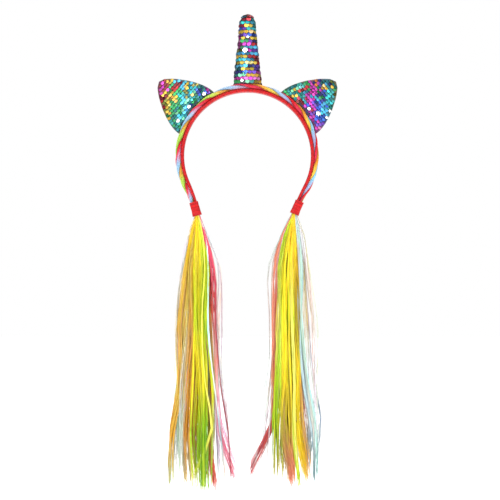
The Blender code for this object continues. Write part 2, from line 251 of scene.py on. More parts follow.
def satin_group():
    """Woven satin on a strip: fine threads across it, and soft puckers; the pucker height also goes out as
    Shade, for a painted shade in the puckers.
    """
    group, given, result = new_group(
        "satin", (("Laid", "Vector"), ("Puckers", "Float")), (("Shade", "Float"), ("Normal", "Vector")),
    )
    laid = given.outputs["Laid"]
    pucker = noise(group, stretched(group, laid, (520, 70, 1)), detail=3.0)
    weave = noise(group, stretched(group, laid, (1, 9000, 1)), detail=1.0)
    height = multiplied(group, pucker, given.outputs["Puckers"])
    height = add_node(group, "Math", {0: weave, 1: 0.08, 2: height}, operation="MULTIPLY_ADD")
    fill(group, result, {"Shade": pucker, "Normal": bumped(group, height, 0.0004, 0.7)})
    return group


def satin_finish(name, deep, bright, puckers, roughness):
    """Red satin, its colour painted darker in its puckers and lighter on their ridges: painted shade and
    painted highlight.
    """
    made, tree = new_finish(name)
    shade = add_node(tree, "Group", {"Laid": attribute(tree, "laid"), "Puckers": puckers}, node_tree=SATIN)
    # The deep colour is painted shade in the puckers, and the bright one is a painted highlight on their
    # ridges.
    return finished(
        made, Base_Color=ramp_of(tree, shade, ((0.3, deep), (0.68, bright))),
        Normal=shade.node.outputs["Normal"], Roughness=roughness,
        Sheen_Weight=0.06, Sheen_Roughness=0.4, Specular_IOR_Level=0.25,
    )


SATIN = satin_group()
places = hoop_runs(HOOP_STEP)
hoop = drawn_through(
    "satin_hoop",
    [hoop_section(side, run) for side, run in places],
    [side * run for side, run in places],
)
# Hoop reds: a painted-shade red for the puckers and a painted-highlight red for their ridges.
HOOP_FINISH = satin_finish("hoop_satin", dye(132, 3, 10), dye(204, 12, 18), puckers=0.8, roughness=0.38)
hoop.data.materials.append(HOOP_FINISH)
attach(hoop, "root")
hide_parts("band")

# Three ropes of loose straight hair, red, yellow and blue, are laid round each other and glued along the
# front of the hoop's outer face. Each rope is a bundle of separate fibres that lie flat against the
# others, so that it shows as a smooth slanting patch wherever it comes to the front.
TWIST_RADIUS = 0.0027
TWIST_TIP_RADIUS = 0.0021
TWIST_PITCH = 0.0502
TWIST_FORWARD = 0.0034
TWIST_STEP = 0.0031
TWIST_GAP = 0.0003
TWIST_TIGHT = 0.16
ROPE_HAIRS = 60
ROPE_HAIR = 0.00019
TWIST_START = 0.0042
LEFT_TIP_TURN = math.radians(106)
LEFT_TIP_FROM = 0.115

# A rope's two colours on the left leg and on the right one run across each of its patches. In degrees,
# lag is how far it trails, and half is half its spread round the twist, near the top and at the tip.
Rope = namedtuple("Rope", "node slot left right left_lag left_half right_half")
ROPES = (
    Rope(
        "twist_red", "red_hair",
        (dye(216, 22, 30), dye(226, 72, 92)), (dye(218, 18, 26), dye(228, 62, 90)),
        left_lag=(22, 54), left_half=(46, 30), right_half=(57, 44),
    ),
    Rope(
        "twist_yellow", "yellow_hair",
        (dye(222, 168, 66), dye(180, 216, 88)), (dye(226, 150, 48), dye(242, 206, 84)),
        left_lag=(25, 42), left_half=(62, 92), right_half=(57, 70),
    ),
    Rope(
        "twist_blue", "blue_hair",
        (dye(222, 136, 170), dye(164, 204, 230)), (dye(150, 206, 230), dye(172, 178, 216)),
        left_lag=(2, 8), left_half=(62, 78), right_half=(57, 66),
    ),
)
ROPE_CREASE = 0.46
ROPE_LINGER = 0.35
# Painted shade, reddened by a painted reflection of the hoop, for the fibres that face the hoop
HOOP_SIDE_SHADE_RED = dye(150, 12, 22)
ROPE_HALF = 57
ROPE_DRIFT = 7

# Changes along the hoop: how far from its top each starts, and over what length it comes about
TIGHTER = (0.070, 0.025)
LEFT_LEG = (0.020, 0.090)
LEFT_LAG = (0.0, 0.030)
RIGHT_LEG = (0.070, 0.040)
LEGS_UNDERSIDE = (0.080, 0.030)


def part_of(change, run):
    start, length = change
    return (run - start) / length


def twist_line(side, run):
    """Middle of the twist beside the hoop: the point, the twist's radius and the way outwards."""
    point, outwards, _ = hoop_place(side, run)
    thin = narrowing(side, run)
    tight = TWIST_TIGHT * ease(part_of(TIGHTER, side * run))
    radius = between(TWIST_RADIUS, TWIST_TIP_RADIUS, thin) * (1 - tight)
    thickness = between(HOOP_THICKNESS, HOOP_TIP_THICKNESS, thin)
    forward = between(TWIST_FORWARD, 0.0, thin)
    middle = point + outwards * (thickness + TWIST_GAP / 2 + radius) + Vector((0, -forward, 0))
    return middle, radius, outwards


def smooth(values):
    held = np.clip(values, 0, 1)
    return held * held * (3 - 2 * held)


def applied(piece):
    """The piece's mesh becomes what its modifiers make of it."""
    mesh = bpy.data.meshes.new_from_object(piece.evaluated_get(bpy.context.evaluated_depsgraph_get()))
    piece.modifiers.clear()
    piece.data = mesh
    return mesh


def copied(piece, count):
    """The piece becomes so many copies of itself by an array. Gives their points, copy by copy."""
    copies = piece.modifiers.new("copies", "ARRAY")
    copies.count = count
    copies.use_relative_offset = False
    many = applied(piece)
    points = np.empty(len(many.vertices) * 3, dtype=np.float32)
    many.vertices.foreach_get("co", points)
    return points.reshape(count, -1, 3)


def set_down(piece, points, tints):
    """Each copy's points are put in their place, and the attribute tint keeps their colours."""
    piece.data.vertices.foreach_set("co", points.astype(np.float32).ravel())
    colours = np.ones((*points.shape[:2], 4), dtype=np.float32)
    colours[:, :, :3] = tints
    tint = piece.data.color_attributes.new("tint", "FLOAT_COLOR", "POINT")
    tint.data.foreach_set("color", colours.ravel())
    piece.data.update()


def laid_fibres(name, paths, thickness, tints, facing, sides=3):
    """Many closed fibres in one mesh: one straight fibre is extruded and copied, and each copy is laid on
    its own path."""
    count, stations = paths.shape[:2]
    fibre = bmesh.new()
    bmesh.ops.create_circle(fibre, cap_ends=True, segments=sides, radius=1)
    face = fibre.faces[:][0]
    for _ in range(stations - 1):
        face = bmesh.ops.extrude_discrete_faces(fibre, faces=[face])["faces"][0]
        bmesh.ops.translate(fibre, verts=face.verts, vec=(0, 0, 1))
    bmesh.ops.holes_fill(fibre, edges=[edge for edge in fibre.edges if edge.is_boundary])
    piece = settled(name, fibre)
    straight = copied(piece, count)
    ring = np.rint(straight[:, :, 2]).astype(int)
    along = np.gradient(paths, axis=1)
    along /= np.linalg.norm(along, axis=2, keepdims=True)
    first = facing[:, None, :] - along * np.sum(facing[:, None, :] * along, axis=2, keepdims=True)
    first /= np.linalg.norm(first, axis=2, keepdims=True)
    second = np.cross(along, first)
    strand = np.arange(count)[:, None]
    reach = thickness[strand, ring][:, :, None]
    points = paths[strand, ring] + reach * (
        straight[:, :, :1] * first[strand, ring] + straight[:, :, 1:2] * second[strand, ring]
    )
    set_down(piece, points, tints[strand, ring])
    return piece


def remap(tree, value, span, result):
    """The value's span drawn over another, each from its first end to its last."""
    ends = zip(("From Min", "From Max", "To Min", "To Max"), (*span, *result))
    return add_node(tree, "MapRange", {"Value": value, **dict(ends)})


def scaled(tree, colour, share):
    return add_node(tree, "VectorMath", {0: colour, "Scale": share}, operation="SCALE")


def streak_group():
    """Silky fibres: each is a little darker and duller, or lighter and glossier, from place to place."""
    group, given, result = new_group(
        "streaks", (("Dye", "Color"), ("Dull", "Float"), ("Glossy", "Float")),
        (("Colour", "Color"), ("Roughness", "Float")),
    )
    dyed, dull, glossy = (given.outputs[name] for name in ("Dye", "Dull", "Glossy"))
    where = add_node(group, "TexCoord", out="Object")
    streak = noise(group, stretched(group, where, (1500, 1500, 60)), detail=2.0)
    shade = remap(group, streak, (0.3, 0.7), (0.82, 1.12))
    rough = remap(group, streak, (0.0, 1.0), (dull, glossy))
    fill(group, result, {"Colour": scaled(group, dyed, shade), "Roughness": rough})
    return group


def hair_finish(name, roughness):
    """Silky synthetic hair in the colour of each fibre."""
    made, tree = new_finish(name)
    tint = attribute(tree, "tint", "Color")
    streaked = add_node(
        tree, "Group", {"Dye": tint, "Dull": roughness + 0.1, "Glossy": roughness - 0.1}, node_tree=STREAKS
    )
    return finished(
        made, Base_Color=streaked, Roughness=streaked.node.outputs["Roughness"],
        Sheen_Weight=0.08, Sheen_Roughness=0.35, Specular_IOR_Level=0.4,
    )


def rope_fibres(order, rope):
    """Fibres that fill a third of the twist's round section, and wind inwards to the right. Where a rope
    lies on the hoop it is pressed flat. Their colour carries painted shade: darker towards each rope's
    edges, in the creases, and dark red on the side against the hoop, a painted shade with a painted
    reflection of the red hoop."""
    rng = np.random.default_rng(20 + order)
    stops = hoop_runs(TWIST_STEP)
    line = [twist_line(side, run) for side, run in stops]
    middle = np.array([point for point, _, _ in line])
    radius = np.array([size for _, size, _ in line])
    outwards = np.array([out for _, _, out in line])
    steps = np.linalg.norm(np.diff(middle, axis=0), axis=1)
    length = np.concatenate(([0.0], np.cumsum(steps)))
    length -= length[next(index for index, (_, run) in enumerate(stops) if run == 0)]
    tighter = smooth((-length - LEFT_TIP_FROM) / (-length[0] - LEFT_TIP_FROM))
    turn = np.radians(120 * order - 90) - 2 * np.pi * (length - TWIST_START) / TWIST_PITCH
    turn += LEFT_TIP_TURN * tighter
    leftness = smooth(part_of(LEFT_LEG, -length))
    lag = between(*rope.left_lag, leftness)
    turn -= np.radians(lag) * smooth(part_of(LEFT_LAG, -length))
    layer = rng.choice((1.0, 0.92, 0.82, 0.65), size=ROPE_HAIRS, p=(0.52, 0.28, 0.14, 0.06))
    rightness = smooth(part_of(RIGHT_LEG, length))
    half = np.radians(np.where(
        length < 0, between(*rope.left_half, leftness), between(*rope.right_half, rightness),
    ))
    lean = (2 * (np.arange(ROPE_HAIRS) + 0.5) / ROPE_HAIRS - 1)[:, None] * half[None, :]
    drift = np.radians(ROPE_DRIFT) * np.sin(
        length[None, :] * rng.uniform(40, 110, (ROPE_HAIRS, 1)) + rng.uniform(0, 6.3, (ROPE_HAIRS, 1))
    )
    spread = lean + drift * half / np.radians(ROPE_HALF)
    front = turn + np.pi / 2
    phase = (turn - ROPE_LINGER / 3 * np.sin(3 * front))[None, :] + spread
    pressed = np.clip(-np.cos(phase) * 1.6, 0, 1)
    aside = np.clip(np.abs(spread / (half + np.radians(3))), 0, 1)
    plump = 1 - ROPE_CREASE * (1 - pressed) * aside**2
    reach = layer[:, None] * plump * (radius[None, :] - ROPE_HAIR) + pressed * TWIST_GAP / 2
    arm = np.cos(phase)[:, :, None] * outwards[None] + np.sin(phase)[:, :, None] * np.array((0.0, 1.0, 0.0))
    paths = middle[None] + arm * reach[:, :, None]
    thickness = ROPE_HAIR * rng.uniform(0.8, 1.25, (ROPE_HAIRS, 1)) * np.ones_like(reach)
    along_patch = 0.5 + 0.5 * np.sin(np.sign(length) * (-turn - np.pi / 2))
    mix = smooth(along_patch[None, :] * 1.6 - 0.15 + rng.normal(0, 0.16, (ROPE_HAIRS, 1)))[:, :, None]
    sides = np.clip(length / 0.05 * 0.5 + 0.5, 0, 1)[None, :, None]
    left, right = np.array(rope.left), np.array(rope.right)
    tints = between(between(*left, mix), between(*right, mix), sides)
    # Painted shade in the creases: fibres are darker towards the rope's edges, beside the next rope, and
    # each fibre is also a little lighter or darker at random.
    tints = tints * rng.uniform(0.78, 1.12, (ROPE_HAIRS, 1, 1)) * (1 - 0.62 * aside**2.5)[:, :, None]
    # Painted shade with a painted red reflection of the hoop, on the fibres that face the hoop; the legs
    # take less of it.
    hidden = between(0.42, 0.80, smooth(part_of(LEGS_UNDERSIDE, np.abs(length))))
    under = 0.85 * smooth((-np.cos(phase) - hidden) / 0.4)[:, :, None]
    tints = between(tints, np.array(HOOP_SIDE_SHADE_RED), under)
    facing = np.tile((0.0, 1.0, 0.0), (ROPE_HAIRS, 1))
    return laid_fibres(rope.node + "_fibres", paths, thickness, tints, facing, sides=4)


STREAKS = streak_group()
ROPE_FINISH = hair_finish("twist_hair", roughness=0.34)
for order, rope in enumerate(ROPES):
    bundle = rope_fibres(order, rope)
    bundle.data.materials.append(ROPE_FINISH)
    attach(bundle, "root")
    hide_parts(rope.node)

# The horn is a stuffed pouch of dark mesh fabric with flat foil sequins sewn on in level rows. Each
# sequin hangs from its upper edge and laps over the row below, and the dyed stripes of the fabric change
# colour every row or two. The hoop and the twist dent its foot where it is sewn down.
HORN_HEIGHT = 0.0750
HORN_WIDTH = 0.0290
HORN_TOP_WIDTH = 0.0154
HORN_DEPTH = 0.0220
HORN_TOP_DEPTH = 0.0145
HORN_HEM_DEPTH = 0.0120
HORN_HEM_HEIGHT = 0.0140
HORN_ROUND = 0.0110
PAD_BACK = 0.0010
SEAT_GAP = 0.0003
SEAT_RADIUS = HOOP_RADIUS + HOOP_THICKNESS + SEAT_GAP
TWIST_STANDS = 0.0052
OVER_TWIST = SEAT_RADIUS + TWIST_STANDS + SEAT_GAP
BEHIND_TWIST = -0.0005
POUCH_INSET = 0.0003
POUCH_FOOT = 0.0005
CLOTH_DEPTH = 0.3
HORN_ROW = 0.0031
HORN_SEQUIN = 0.0024
HORN_SPACING = 0.0044
SEQUIN_LIFT = 0.00035
Form = namedtuple("Form", "outline power height width row sides spacing sequin rim")

# A few sequins are turned over to catch the glint lamp and tinted near white: their silver backs, with a
# painted highlight. Each spot is its place across and up, and its radius.
SILVER_AND_GLINT = (0.93, 0.93, 0.95)
SILVER_FACING = (-0.08, -0.99, 0.09)
SILVER_LIFT = 0.0014
HORN_TURNED = ((-0.0025, 0.0380, 0.0026), (0.0003, 0.0512, 0.0014), (-0.0056, 0.0080, 0.0017))

SEQUIN_DYES = dyes(
    red=(214, 30, 44), maroon=(140, 24, 34), crimson=(176, 22, 62), magenta=(214, 52, 186),
    pink=(244, 128, 214), violet=(104, 52, 176), navy=(32, 44, 134), blue=(28, 88, 206),
    sky=(70, 190, 234), cyan=(40, 206, 214), teal=(20, 140, 140), green=(28, 158, 84),
    mint=(120, 214, 168), olive=(122, 132, 30), gold=(240, 196, 60), straw=(222, 204, 112),
    cream=(248, 226, 150), orange=(240, 128, 50),
)

# Dyed stripes up the horn, one line a row from its foot: the colours from left to right
HORN_STRIPES = (
    "sky sky teal green",
    "magenta pink magenta red",
    "green mint teal gold",
    "magenta magenta pink orange",
    "teal mint gold gold",
    "navy blue violet magenta",
    "teal gold gold violet",
    "sky sky navy violet",
    "gold cream gold red",
    "cyan sky sky crimson",
    "gold green red red",
    "sky cyan sky sky",
    "olive green magenta violet",
    "magenta mint sky sky",
    "magenta magenta magenta red",
    "pink green violet navy",
    "magenta gold cream gold",
    "magenta violet blue blue",
    "gold gold cream gold",
    "blue violet blue cyan",
    "crimson gold gold teal",
    "sky cyan sky cyan",
    "crimson red red teal",
    "sky green red crimson",
    "red crimson red green",
)


def horn_outline(height):
    """Half the horn's width and depth at a height above its seat."""
    taper = HORN_HEIGHT - HORN_ROUND
    share = min(1.0, height / taper)
    past = max(0.0, height - taper) / HORN_ROUND
    rounding = math.sqrt(max(0.0, 1 - past * past))
    width = between(HORN_WIDTH, HORN_TOP_WIDTH, share) * rounding
    depth = between(HORN_DEPTH, HORN_TOP_DEPTH, share) * rounding
    depth = between(min(HORN_HEM_DEPTH, depth), depth, ease(height / HORN_HEM_HEIGHT))
    return width / 2, depth / 2


def squared_round(half_across, half_deep, angle, power):
    """A point on an oval that is squarer the higher the power is."""
    cosine, sine = math.cos(angle), math.sin(angle)
    across = math.copysign(half_across * abs(cosine) ** (2 / power), cosine)
    deep = math.copysign(half_deep * abs(sine) ** (2 / power), sine)
    return across, deep


def oval_point(form, height, angle, inset=0.0):
    """A point on a pouch, at a height above its seat and an angle round it."""
    half_width, half_depth = form.outline(height)
    across, deep = squared_round(half_width - inset, half_depth - inset, angle, form.power)
    return Vector((across, PAD_BACK + deep, SEAT_RADIUS + height))


def seat_cut(pouch):
    """Cut the pouch's foot to the hoop all over, and to the twist in front."""
    cutters = []
    reach = HORN_DEPTH
    for radius, front, back in ((SEAT_RADIUS, -reach, reach), (OVER_TWIST, -reach, BEHIND_TWIST)):
        shape = bmesh.new()
        place = Matrix.Translation((0, (front + back) / 2, 0)) @ Matrix.Rotation(math.radians(90), 4, "X")
        bmesh.ops.create_cone(
            shape, cap_ends=True, segments=160, radius1=radius, radius2=radius,
            depth=back - front, matrix=place,
        )
        cutter = settled("cutter", shape)
        cutters.append(cutter)
        cut = pouch.modifiers.new("seat", "BOOLEAN")
        cut.operation = "DIFFERENCE"
        cut.object = cutter
    applied(pouch)
    for cutter in cutters:
        bpy.data.objects.remove(cutter)


def pouch_of(name, form):
    """A stuffed pouch, drawn up from below its seat and closed at its tip, then cut to its seat."""
    sag = SEAT_RADIUS - math.sqrt(SEAT_RADIUS**2 - (form.width / 2) ** 2)
    count = round(form.height / form.row)
    top = form.height - POUCH_INSET
    levels = [-sag - POUCH_FOOT] + [top * index / count for index in range(1, count)]
    levels += [top - form.row * share for share in (0.5, 0.2, 0.02)]
    angles = [2 * math.pi * (step + 0.5) / form.sides for step in range(form.sides)]
    sections = [[oval_point(form, level, angle, POUCH_INSET) for angle in angles] for level in levels]
    pouch = drawn_through(name, sections, levels)
    seat_cut(pouch)
    return pouch


def sequin_shape(name):
    """One round foil sequin, slightly cupped, with a flat middle and a thin edge, on a unit radius."""
    disc = bmesh.new()
    bmesh.ops.create_circle(disc, cap_ends=True, segments=12, radius=1)
    bmesh.ops.inset_region(disc, faces=disc.faces[:], thickness=0.42)
    middle = min(disc.faces, key=lambda face: face.calc_center_median().length)
    bmesh.ops.translate(disc, verts=middle.verts, vec=(0, 0, -0.13))
    bmesh.ops.solidify(disc, geom=disc.faces[:], thickness=0.05)
    return settled(name, disc)


def sewn_sequins(name, placings, tints):
    """Copies of one sequin, each put at its place. The attribute disc keeps where a point lies on it."""
    piece = sequin_shape(name)
    flat = copied(piece, len(placings))
    frames = np.array([np.array(placing) for placing in placings])
    points = np.einsum("nij,nvj->nvi", frames[:, :3, :3], flat) + frames[:, None, :3, 3]
    disc = piece.data.attributes.new("disc", "FLOAT_VECTOR", "POINT")
    disc.data.foreach_set("vector", flat.ravel())
    set_down(piece, points, np.array(tints)[:, None, :])
    return piece


def even_angles(form, height, offset):
    """Angles round a pouch at one height that lie an even spacing apart along its skin."""
    angles = [2 * math.pi * step / 240 for step in range(241)]
    points = [oval_point(form, height, angle) for angle in angles]
    walked = [0.0]
    for before, after in zip(points, points[1:]):
        walked.append(walked[-1] + (after - before).length)
    count = max(3, round(walked[-1] / form.spacing))
    stops = [walked[-1] * ((index + offset) % count) / count for index in range(count)]
    return np.interp(stops, walked, angles)


def sequin_placings(form, rng):
    """A placing for every sequin on a pouch: its row, its share of the height, how far round it is, and
    its matrix. A rim beside the pouch's side seam and round its tip is left bare."""
    placings = []
    height, row = form.height, form.row
    for index in range(int(height / row) + 1):
        level = min(index * row + 0.4 * row, height - 0.4 * row)
        for angle in even_angles(form, level, 0.5 * (index % 2)):
            here = oval_point(form, level, angle)
            if min(form.outline(level)[0] - abs(here.x), height - level) < form.rim:
                continue
            ahead = oval_point(form, level, angle + 0.02)
            above = oval_point(form, min(level + row / 3, height - 0.0001), angle)
            outward = (ahead - here).cross(above - here).normalized()
            foot = OVER_TWIST if here.y < 0 else SEAT_RADIUS
            if Vector((here.x, here.z)).length < foot + form.sequin * 0.8:
                continue
            upward = (above - here).normalized()
            sideways = upward.cross(outward).normalized()
            turn = Matrix((sideways, upward, outward)).transposed().to_4x4()
            lap = math.radians(rng.gauss(7, 6))
            sway = math.radians(rng.gauss(0, 8))
            tilt = Matrix.Rotation(-lap, 4, "X") @ Matrix.Rotation(sway, 4, "Y")
            size = form.sequin * rng.uniform(0.94, 1.06)
            centre = here + outward * SEQUIN_LIFT
            placing = Matrix.Translation(centre) @ turn @ tilt @ Matrix.Scale(size, 4)
            placings.append((index, level / height, angle, placing))
    return placings


def foil_finish():
    """Dyed foil: a mirror-like film with embossed rings and a pierced hole, lightly scuffed, in each
    sequin's colour. It carries painted shade at its edge and a painted shadow on its upper part, where the
    row above laps over it."""
    made, tree = new_finish("sequin_foil")
    disc = attribute(tree, "disc")
    out = add_node(tree, "VectorMath", {0: disc}, out="Value", operation="LENGTH")
    up = add_node(tree, "SeparateXYZ", {0: disc}, out="Y")
    hole = add_node(tree, "VectorMath", {0: disc, 1: (0, 0.72, 0)}, out="Value", operation="DISTANCE")
    # Painted shade: darker at each sequin's rim, with a painted shadow on its upper part from the row
    # above.
    edge = remap(tree, out, (0.78, 1.0), (1.0, 0.5))
    painted_row_shadow = remap(tree, up, (0.0, 0.6), (1.0, 0.3))
    pierced = remap(tree, hole, (0.08, 0.12), (0.05, 1.0))
    shade = multiplied(tree, multiplied(tree, edge, painted_row_shadow), pierced)
    scuffs = noise(tree, disc, detail=4.0, scale=5.0)
    rings = add_node(tree, "Math", {0: multiplied(tree, out, 24.0)}, operation="SINE")
    return finished(
        made, Base_Color=scaled(tree, attribute(tree, "tint", "Color"), shade),
        Roughness=remap(tree, scuffs, (0.0, 1.0), (0.14, 0.36)), Normal=bumped(tree, rings, 0.00002, 0.5),
        Metallic=0.85, Coat_Weight=0.3, Coat_Roughness=0.1,
    )


def pouch_finish():
    """Knitted mesh behind the sequins, in the darker tone of their dyes."""
    made, tree = new_finish("pouch_mesh")
    where = add_node(tree, "TexCoord", out="Object")
    knit = add_node(tree, "TexVoronoi", {"Vector": where, "Scale": 1600.0}, out="Distance")
    depth = remap(tree, knit, (0.1, 0.6), (1.0, 0.5))
    return finished(
        made, Base_Color=scaled(tree, attribute(tree, "tint", "Color"), depth),
        Normal=bumped(tree, knit, 0.0002, 0.8), Roughness=0.6, Sheen_Weight=0.3,
    )


def stripe_tint(row, angle, rng):
    """The stripe's colour at an angle round the horn; the back repeats the front."""
    names = HORN_STRIPES[row % len(HORN_STRIPES)].split()
    across = (math.cos(angle) + 1) / 2
    place = min(len(names) - 1, max(0, int(across * len(names) + rng.gauss(0, 0.3))))
    return SEQUIN_DYES[names[place]]


def painted_foil_light(tint, rng):
    """A little lighter or darker from sequin to sequin, as painted light and shade for how each foil
    catches the lamps, and paled a little towards white as a painted sheen.
    """
    light = rng.uniform(0.46, 1.2)
    return tuple(min(1.0, (part * 0.95 + 0.03) * light * rng.uniform(0.88, 1.1)) for part in tint)


def turned_over(placings, tints, spots, angle):
    """The front sequin nearest to each spot, across and up, is turned to catch the glint lamp and tinted
    near white: its silver back, with a painted highlight.
    """
    facing = Matrix.Rotation(-angle, 3, "Y") @ Vector(SILVER_FACING)
    for across, up, size in spots:
        spot = Vector((across, SEAT_RADIUS + up))
        front = [index for index, placing in enumerate(placings) if placing.translation.y < PAD_BACK]
        nearest = min(front, key=lambda index: (placings[index].translation.xz - spot).length)
        centre = Vector((across, placings[nearest].translation.y - SILVER_LIFT, SEAT_RADIUS + up))
        turn = facing.to_track_quat("Z", "Y").to_matrix().to_4x4()
        placings[nearest] = Matrix.Translation(centre) @ turn @ Matrix.Scale(size, 4)
        # Near-white tint: the silver back, with a painted highlight
        tints[nearest] = SILVER_AND_GLINT


def sewn_pouch(name, form, angle, cloth_dye, sequin_dye, turned, rng):
    """A stuffed pouch and its sequins, at an angle round the hoop. The attribute tint keeps the dye at each
    point, much deeper on the cloth than on the foil. On the foil it also carries painted light and shade."""
    pouch = pouch_of(name + "_pouch", form)
    tint = pouch.data.color_attributes.new("tint", "FLOAT_COLOR", "POINT")
    for vert, value in zip(pouch.data.vertices, tint.data):
        value.color = (*(part * CLOTH_DEPTH for part in cloth_dye(vert.co)), 1)
    placed = sequin_placings(form, rng)
    tints = [painted_foil_light(sequin_dye(row, up, around), rng) for row, up, around, _ in placed]
    placings = [placing for *_, placing in placed]
    turned_over(placings, tints, turned, angle)
    sequins = sewn_sequins(name + "_sequins", placings, tints)
    for piece, finish in ((pouch, POUCH), (sequins, FOIL)):
        piece.data.transform(Matrix.Translation(HOOP_CENTRE) @ Matrix.Rotation(angle, 4, "Y"))
        piece.data.materials.append(finish)
    return pouch, sequins


def horn_cloth(point):
    row = int(max(0.0, point.z - SEAT_RADIUS) / HORN_ROW)
    return stripe_tint(row, math.atan2(point.y - PAD_BACK, point.x), rng)


FOIL = foil_finish()
POUCH = pouch_finish()
HORN = Form(
    horn_outline, power=2, height=HORN_HEIGHT, width=HORN_WIDTH, row=HORN_ROW, sides=36,
    spacing=HORN_SPACING, sequin=HORN_SEQUIN, rim=0.0,
)
rng = random.Random(5)
horn_pouch, horn_sequins = sewn_pouch(
    "horn", HORN, 0, horn_cloth, lambda row, up, angle: stripe_tint(row, angle, rng), HORN_TURNED, rng
)
for piece in (horn_pouch, horn_sequins):
    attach(piece, "root")
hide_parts("horn")
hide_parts("horn")

# Each ear is a flat stuffed pouch, sequinned front and back and sewn shut round its edge. Its rows run
# level with the seam along the hoop. The dyed fabric turns through the rainbow, and the two ears are cut
# from different parts of it.
EAR_ANGLE = math.radians(50)
EAR_HEIGHT = 0.0490
EAR_WIDTH = 0.0556
EAR_DEPTH = 0.0110
EAR_HEM_DEPTH = 0.0090
EAR_SWELL = 2.2
EAR_FULL_BY = 0.3
EAR_EDGE = 1.8
EAR_ROW = 0.00275
EAR_SEQUIN = 0.0019
EAR_SPACING = 0.0034
EAR_RIM = 0.0024
EarLine = namedtuple("EarLine", "height width")
EAR_OUTLINE = (
    EarLine(-0.3, 0.96), EarLine(0.0, 1.0), EarLine(0.14, 0.985), EarLine(0.27, 0.93),
    EarLine(0.42, 0.83), EarLine(0.55, 0.72), EarLine(0.66, 0.6), EarLine(0.76, 0.49),
    EarLine(0.86, 0.35), EarLine(0.94, 0.215), EarLine(1.0, 0.0),
)
EARS_TURNED = {
    -1: ((0.0194, 0.0062, 0.0019), (-0.0002, 0.0094, 0.0019), (-0.0180, 0.0088, 0.0019)),
    1: (
        (0.0037, 0.0104, 0.0017), (0.0132, 0.0144, 0.0023), (0.0188, 0.0252, 0.0015),
        (0.0219, 0.0186, 0.0016),
    ),
}

# Patches of dye on an ear: across is -1 at its lower side and 1 beside the horn, up is 0 at the hoop and
# 1 at the tip, and each patch mixes a few colours
Patch = namedtuple("Patch", "across up colours")
LEFT_EAR_DYES = (
    Patch(0.0, 1.0, "magenta crimson magenta"), Patch(-0.9, 0.82, "crimson magenta red"),
    Patch(-0.95, 0.64, "crimson red gold"), Patch(0.0, 0.84, "maroon gold magenta"),
    Patch(0.6, 0.8, "maroon gold red"), Patch(-0.35, 0.74, "gold maroon red"),
    Patch(-0.2, 0.64, "gold olive maroon"), Patch(0.35, 0.68, "green red maroon"),
    Patch(0.75, 0.66, "sky maroon green"), Patch(-0.55, 0.58, "olive gold straw"),
    Patch(0.15, 0.52, "green straw teal"), Patch(0.6, 0.54, "sky straw gold"),
    Patch(-0.2, 0.5, "green gold olive"), Patch(-0.9, 0.46, "gold olive straw"),
    Patch(0.95, 0.44, "sky gold teal"), Patch(0.7, 0.44, "cyan straw teal"),
    Patch(0.45, 0.42, "straw teal olive"), Patch(-0.5, 0.4, "green teal green"),
    Patch(0.15, 0.4, "sky green cyan"), Patch(-0.3, 0.32, "green mint green"),
    Patch(0.3, 0.29, "teal mint green"), Patch(0.8, 0.28, "teal cyan blue"),
    Patch(0.7, 0.19, "navy blue teal"), Patch(-0.1, 0.25, "teal blue sky"),
    Patch(-0.8, 0.24, "teal green teal"), Patch(-0.35, 0.16, "sky cyan mint"),
    Patch(0.35, 0.14, "teal green teal"), Patch(0.9, 0.12, "violet magenta blue"),
    Patch(0.85, 0.02, "green pink violet"), Patch(-0.75, 0.04, "teal green navy"),
)
RIGHT_EAR_DYES = (
    Patch(0.0, 1.0, "olive gold red"), Patch(-0.9, 0.86, "straw olive green"),
    Patch(0.0, 0.82, "teal gold green"), Patch(0.6, 0.8, "teal sky navy"),
    Patch(-0.5, 0.76, "teal cyan green"), Patch(0.45, 0.76, "cream sky teal"),
    Patch(0.55, 0.69, "navy gold navy"), Patch(0.0, 0.68, "navy gold blue"),
    Patch(-0.85, 0.66, "teal green cyan"), Patch(0.8, 0.62, "magenta orange green"),
    Patch(-0.45, 0.6, "cyan blue teal"), Patch(0.4, 0.57, "magenta green magenta"),
    Patch(-0.1, 0.55, "navy green blue"), Patch(0.8, 0.48, "green red maroon"),
    Patch(0.3, 0.45, "magenta sky green"), Patch(-0.3, 0.44, "blue sky navy"),
    Patch(-0.7, 0.42, "sky cyan blue"), Patch(0.75, 0.38, "teal red maroon"),
    Patch(0.5, 0.34, "red sky magenta"), Patch(0.2, 0.37, "magenta sky magenta"),
    Patch(-0.2, 0.32, "violet magenta violet"), Patch(0.95, 0.3, "teal green gold"),
    Patch(-0.75, 0.28, "blue violet navy"), Patch(0.4, 0.26, "teal crimson violet"),
    Patch(0.0, 0.22, "violet blue magenta"), Patch(0.7, 0.22, "gold mint teal"),
    Patch(-0.45, 0.16, "magenta crimson violet"), Patch(0.15, 0.12, "crimson maroon navy"),
    Patch(0.8, 0.1, "teal green cyan"), Patch(-0.85, 0.06, "magenta pink violet"),
)


def ear_outline(height):
    """Half the ear's width and depth at a height above its seat."""
    share = height / EAR_HEIGHT
    low, high = next(
        (low, high) for low, high in zip(EAR_OUTLINE, EAR_OUTLINE[1:]) if share <= high.height
    )
    part = (share - low.height) / (high.height - low.height)
    half_depth = EAR_DEPTH / 2 * math.sqrt(1 - max(0.0, share) ** EAR_SWELL)
    half_depth = between(min(EAR_HEM_DEPTH / 2, half_depth), half_depth, ease(share / EAR_FULL_BY))
    return between(low.width, high.width, part) * EAR_WIDTH / 2, half_depth


def patch_tint(patches, across, up, rng):
    """The colour of the nearest patch, a little ragged at its border."""
    across += rng.gauss(0, 0.10)
    up += rng.gauss(0, 0.03)
    patch = min(patches, key=lambda patch: (patch.across - across) ** 2 * 0.2 + (patch.up - up) ** 2)
    first, second, third = patch.colours.split()
    return SEQUIN_DYES[rng.choices((first, second, third), weights=(6, 3, 1))[0]]


